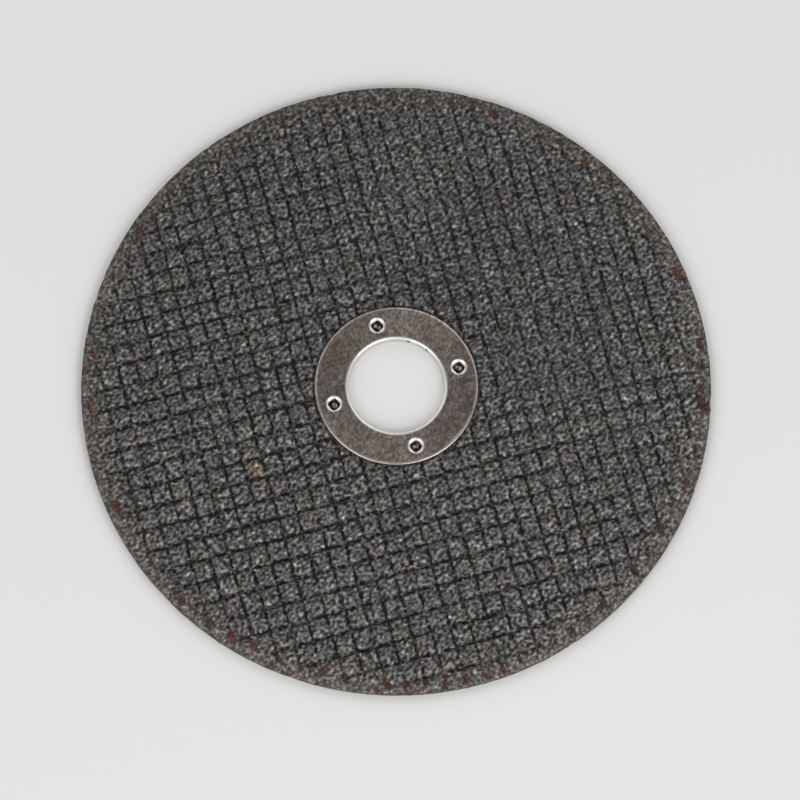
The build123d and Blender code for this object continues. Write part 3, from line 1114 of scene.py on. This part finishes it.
# the broken ends of the warp yarns, where the net stops short of the rim: a few strands side by side
def makeYarnEnds(material):
    draw = np.random.default_rng(71)
    ends = [(k, side) for side, size, lines in yarn["ends"] for k in lines]
    size = np.concatenate([[size] * len(lines) for side, size, lines in yarn["ends"]])
    line, side = np.array(ends, float).T
    s = net["warpOffset"] + net["warpPitch"] * line
    stray = yarn["radiusStray"]
    radius = yarn["endRadius"] + draw.uniform(-stray, stray, len(s))
    radius = np.array([yarn["ownRadii"].get(end, own) for end, own in zip(ends, radius)])
    t = side * np.sqrt(np.maximum(radius ** 2 - s ** 2, 1))
    for _ in range(8):    # each end slides along its yarn until it is at its radius
        x, y = fromNet(s, t)
        t = t + (radius - np.hypot(x, y)) * radius / y
    scraps = np.array(yarnScraps)
    x, y = np.append(x, scraps[:, 0]), np.append(y, scraps[:, 1])
    bearing = np.append(np.full(len(s), net["warpTurn"] + 90), scraps[:, 2])
    halfLength, halfWidth = (
        np.append(yarn[part] * size * draw.uniform(*yarn["sizeRange"], len(s)), scraps[:, column])
        for part, column in (("halfLength", 3), ("halfWidth", 4))
    )
    strands, spread, slide = yarn["strands"], yarn["spread"], yarn["slide"]
    offset = np.tile(np.linspace(-spread, spread, strands), len(x)) * np.repeat(halfWidth, strands)
    slide = np.repeat(halfLength, strands) * draw.uniform(-slide, slide, len(offset))
    along = x * np.cos(np.radians(bearing)) + y * np.sin(np.radians(bearing))
    inward = np.repeat(np.where(along > 0, -1, 1), strands)
    fan = np.tile(np.linspace(1, -1, strands), len(x)) * inward * yarn["fan"]
    bearing = np.repeat(bearing, strands) + fan + draw.uniform(-yarn["stray"], yarn["stray"], len(offset))
    turn = np.radians(bearing)
    x = np.repeat(x, strands) + slide * np.cos(turn) - offset * np.sin(turn)
    y = np.repeat(y, strands) + slide * np.sin(turn) + offset * np.cos(turn)
    level = faceLevel - faceRelief(x, y)[0] * 0.5 + draw.uniform(*yarn["levels"], len(x))
    half = np.stack([
        np.repeat(halfLength, strands) * draw.uniform(*yarn["lengths"], len(offset)),
        np.repeat(halfWidth, strands) * draw.uniform(*yarn["widths"], len(offset)),
        yarn["halfHeight"] * draw.uniform(*yarn["heights"], len(offset)),
    ], axis=-1)
    level = np.minimum(level, flangeLevel - 1.4 * half[:, 2])
    inside = np.minimum(1, (rimRadius - 0.6) / (np.hypot(x, y) + 0.4 * half[:, 0]))
    shell = newShell()
    where = np.stack([x * inside, y * inside, level], axis=-1)
    addLumps(shell, where, bearing, half, yarn["rough"], 72, 8, 8)
    made = makeObject("yarn_ends", shell, material)
    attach(made, "root")


# Red-brown resin on glass yarn: clotted tones, shifted by a slower noise from one end to the next
def makeYarnRed():
    material, tree, shader = newMaterial("red_brown_yarn")
    place = objectPlace(tree)
    tone = ramp(tree, cloud(tree, place, 0.45, 3.0), yarn["tones"])
    shift = ramp(tree, cloud(tree, place, 2.6, 1.0), yarn["shifts"])
    setSockets(tree, shader, {
        "Base Color": tinted(tree, tone, shift),
        "Roughness": 0.75,
        "Specular IOR Level": 0.2,
        "Normal": bump(tree, cells(tree, place, 0.2).outputs["Distance"], 0.06, 0.9),
    })
    return material


# Pale specks in the grit: x, y, bearing, half length, half width
specks = [
    (-26.1, -4.6, 20, 0.25, 0.14), (-25.5, -7.2, 70, 0.3, 0.12),
    (4.8, 32.8, 30, 0.3, 0.2), (-12.7, 27.9, 60, 0.3, 0.18), (-40.4, 17.2, 10, 0.3, 0.15),
    (-44.1, 4.8, 40, 0.3, 0.2), (-30.1, 4.1, 0, 0.35, 0.22), (41.7, -4.6, 20, 0.35, 0.16),
]
# Grains seen in the pierced points: x, y, level, bearing and half sizes
holeGrains = [
    (-0.25, 10.95, 0.86, 20, 0.34, 0.3, 0.22), (0.3, 10.6, 0.7, 80, 0.35, 0.3, 0.2),
    (11.05, -0.2, 0.84, 60, 0.4, 0.32, 0.22), (10.6, 0.25, 0.68, 10, 0.35, 0.3, 0.2),
    (-10.9, 0.15, 0.85, 30, 0.3, 0.2, 0.22), (-10.55, -0.2, 0.8, 100, 0.32, 0.2, 0.2),
    (-10.85, -0.4, 0.72, 0, 0.3, 0.22, 0.2), (-0.2, -10.8, 0.7, 0, 0.34, 0.3, 0.2),
]
rustyGrains = [(0.28, -10.85, 0.86, 70, 0.48, 0.22, 0.24)]


# grains as lumps, one for each row of place, bearing and half sizes
def makeGrains(name, rows, material, seed):
    rows = np.array(rows)
    shell = newShell()
    addLumps(shell, rows[:, :3], rows[:, 3], rows[:, 4:7], 0.28, seed, 6, 9)
    made = makeObject(name, shell, material)
    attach(made, "root")


# the specks lie half sunk in the face, at the level it has there
def makeSpecks(material):
    places = np.array(specks)
    level = faceLevel - faceRelief(places[:, 0], places[:, 1])[0] * 0.5 + 0.005
    height = np.full(len(places), 0.06)
    rows = np.column_stack([places[:, :2], level, places[:, 2:], height])
    makeGrains("pale_specks", rows, material, 81)


grainTones = {
    "tan_grain": ((0.07, 0.05, 0.035), (0.32, 0.25, 0.18)),
    "grey_grain": ((0.03, 0.03, 0.03), (0.4, 0.38, 0.37)),
    "rusty_grain": ((0.09, 0.04, 0.025), (0.42, 0.2, 0.13)),
}


# a grain mottled between its two tones
def makeGrainMaterial(name):
    dark, light = grainTones[name]
    material, tree, shader = newMaterial(name)
    place = objectPlace(tree)
    setSockets(tree, shader, {
        "Base Color": ramp(tree, cloud(tree, place, 0.25, 3.0), [(0.35, dark), (0.65, light)]),
        "Roughness": 0.5,
        "Normal": bump(tree, cells(tree, place, 0.15).outputs["Distance"], 0.03, 0.7),
    })
    return material


makeCamera()
makeLamps()
makeWorld()
makeFloor()
print("stage made")
makeDisc(makeGrit())
print("disc made")
makeRing(makeTin())
print("ring made")
makeYarnEnds(makeYarnRed())
makeSpecks(makeGrainMaterial("tan_grain"))
makeGrains("hole_grains", holeGrains, makeGrainMaterial("grey_grain"), 82)
makeGrains("rusty_grain", rustyGrains, makeGrainMaterial("rusty_grain"), 83)
print("small grains made")
